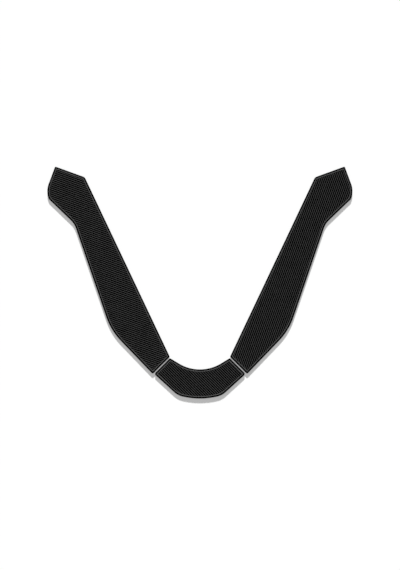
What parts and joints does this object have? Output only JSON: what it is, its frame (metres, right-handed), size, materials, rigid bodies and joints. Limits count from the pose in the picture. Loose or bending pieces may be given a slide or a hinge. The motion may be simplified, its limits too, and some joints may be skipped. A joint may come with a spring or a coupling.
{
  "type": "scooter front fairing pad",
  "caption": "Ribbed rubber protection pads for a scooter's front fairing: long side pads and a short curved centre pad that form a V.",
  "frame": {"origin": "under the middle of the set's bounding box, in the plane of the flat backs", "axes": "+X across the V to the right, +Y up the V, +Z out of the ribbed faces"},
  "size_m": [0.4008, 0.3044, 0.0026],
  "materials": {
    "pad_rubber": "matt black, with dark grey rib crests and keyline"
  },
  "bodies": {
    "root": {"left_pad": "pad_rubber", "centre_pad": "pad_rubber", "right_pad": "pad_rubber"}
  },
  "joints": []
}
